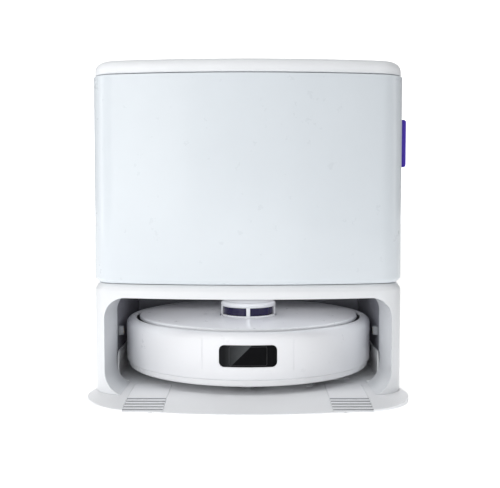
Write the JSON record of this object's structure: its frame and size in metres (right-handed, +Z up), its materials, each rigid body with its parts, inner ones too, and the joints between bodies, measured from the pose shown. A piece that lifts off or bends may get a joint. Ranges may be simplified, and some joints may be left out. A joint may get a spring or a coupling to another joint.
{
  "type": "robot vacuum with base station",
  "caption": "Round robot vacuum and mop parked in the arched bay of its white base station, with a bowed front door, a top lid and a ramped tray.",
  "frame": {"origin": "centre of the footprint, on the floor", "axes": "+Z up, -Y towards the front, +X to the right as seen from the front"},
  "size_m": [0.408, 0.464, 0.43],
  "materials": {
    "door_gloss": "glossy cool white",
    "white_shell": "satin white",
    "robot_white": "satin white",
    "tray_white": "matte white",
    "pad_grey": "fine-textured pale grey",
    "liner_grey": "matte grey",
    "inner_grey": "matte grey",
    "dark_plastic": "matte black",
    "black_gloss": "glossy black",
    "lens_violet": "dark violet, glossy",
    "tab_violet": "violet webbing",
    "tank_smoke": "smoky translucent",
    "detergent": "translucent blue",
    "rubber": "matte black",
    "steel": "brushed",
    "mop_cloth": "looped microfibre",
    "bag_paper": "non-woven paper"
  },
  "bodies": {
    "station": {"base_tray": "tray_white", "rubber_foot_front": "rubber", "rubber_foot_rear": "rubber", "washing_tray": "inner_grey", "track_pad_left": "pad_grey", "track_pad_right": "pad_grey", "guide_left": "white_shell", "guide_right": "white_shell", "lower_housing": "white_shell", "cavity_liner": "liner_grey", "rear_cover": "white_shell", "power_inlet": "dark_plastic", "tank_deck": "inner_grey", "upper_housing": "white_shell", "tank_partition": "inner_grey", "tank_shelf": "inner_grey", "clean_tank": "tank_smoke", "clean_tank_cap": "white_shell", "dirty_tank": "tank_smoke", "dirty_tank_cap": "dark_plastic", "dust_bag": "bag_paper", "dust_bag_collar": "dark_plastic", "suction_duct": "dark_plastic", "detergent_cartridge": "detergent", "cartridge_cap": "tab_violet", "station_fan": "dark_plastic", "water_pump": "dark_plastic", "door_pin_lower": "steel", "door_pin_upper": "steel", "lid_pin_left": "steel", "lid_pin_right": "steel"},
    "door": {"front_door": "door_gloss", "pull_tab": "tab_violet"},
    "lid": {"top_lid": "white_shell"},
    "contact_left": {"contact_left": "liner_grey"},
    "contact_right": {"contact_right": "liner_grey"},
    "float": {"dirty_tank_float": "white_shell"},
    "robot": {"robot_chassis": "tray_white", "robot_frame": "dark_plastic", "robot_rear_shell": "robot_white", "lidar_tower": "robot_white", "lidar_window": "lens_violet", "dust_bin": "dark_plastic", "robot_battery": "dark_plastic"},
    "bumper": {"bumper": "robot_white", "sensor_window": "black_gloss"},
    "deck_cover": {"robot_deck": "robot_white"},
    "lidar_rotor": {"lidar_rotor": "black_gloss"},
    "wheel_left": {"wheel_left": "rubber"},
    "wheel_right": {"wheel_right": "rubber"},
    "caster_fork": {"caster_fork": "dark_plastic"},
    "caster_wheel": {"caster_wheel": "rubber"},
    "main_brush": {"main_brush": "rubber"},
    "side_brush": {"side_brush": "dark_plastic"},
    "mop_left": {"mop_plate_left": "dark_plastic", "mop_pad_left": "mop_cloth"},
    "mop_right": {"mop_plate_right": "dark_plastic", "mop_pad_right": "mop_cloth"}
  },
  "joints": [
    {"name": "lid_hinge", "type": "hinge", "parent": "station", "child": "lid", "pos_m": [0, 0.22, 0.421], "axis": [-1, 0, 0], "range_deg": [0, 75]},
    {"name": "door_hinge", "type": "hinge", "parent": "station", "child": "door", "pos_m": [-0.1954, -0.115, 0.2825], "axis": [0, 0, -1], "range_deg": [0, 95]},
    {"name": "robot_drive", "type": "slide", "parent": "station", "child": "robot", "axis": [0, -1, 0], "range_m": [0, 0.4]},
    {"name": "contact_left_press", "type": "slide", "parent": "station", "child": "contact_left", "axis": [-1, 0, 0], "range_m": [0, 0.003], "stiffness_N_per_m": 300},
    {"name": "contact_right_press", "type": "slide", "parent": "station", "child": "contact_right", "axis": [1, 0, 0], "range_m": [0, 0.003], "stiffness_N_per_m": 300},
    {"name": "float_rise", "type": "slide", "parent": "station", "child": "float", "axis": [0, 0, 1], "range_m": [0, 0.15]},
    {"name": "bumper_press", "type": "slide", "parent": "robot", "child": "bumper", "axis": [0, 1, 0], "range_m": [0, 0.0035], "stiffness_N_per_m": 600},
    {"name": "deck_lift", "type": "slide", "parent": "robot", "child": "deck_cover", "axis": [0, 0, 1], "range_m": [0, 0.028]},
    {"name": "lidar_spin", "type": "hinge", "parent": "robot", "child": "lidar_rotor", "pos_m": [0, -0.013, 0.094], "axis": [0, 0, 1], "continuous": true},
    {"name": "wheel_left_spin", "type": "hinge", "parent": "robot", "child": "wheel_left", "pos_m": [-0.125, 0.009, 0.0435], "axis": [1, 0, 0], "continuous": true},
    {"name": "wheel_right_spin", "type": "hinge", "parent": "robot", "child": "wheel_right", "pos_m": [0.125, 0.009, 0.0435], "axis": [1, 0, 0], "continuous": true},
    {"name": "caster_swivel", "type": "hinge", "parent": "robot", "child": "caster_fork", "pos_m": [0, -0.121, 0.0425], "axis": [0, 0, 1], "continuous": true},
    {"name": "caster_roll", "type": "hinge", "parent": "caster_fork", "child": "caster_wheel", "pos_m": [0, -0.121, 0.0236], "axis": [1, 0, 0], "continuous": true},
    {"name": "main_brush_spin", "type": "hinge", "parent": "robot", "child": "main_brush", "pos_m": [0, -0.023, 0.031], "axis": [1, 0, 0], "continuous": true},
    {"name": "side_brush_spin", "type": "hinge", "parent": "robot", "child": "side_brush", "pos_m": [0.092, -0.091, 0.016], "axis": [0, 0, 1], "continuous": true},
    {"name": "mop_left_spin", "type": "hinge", "parent": "robot", "child": "mop_left", "pos_m": [-0.066, 0.089, 0.016], "axis": [0, 0, 1], "continuous": true},
    {"name": "mop_right_spin", "type": "hinge", "parent": "robot", "child": "mop_right", "pos_m": [0.066, 0.089, 0.016], "axis": [0, 0, 1], "continuous": true}
  ],
  "couplings": [
    {"joint": "mop_right_spin", "follows": "mop_left_spin", "ratio": -1}
  ]
}
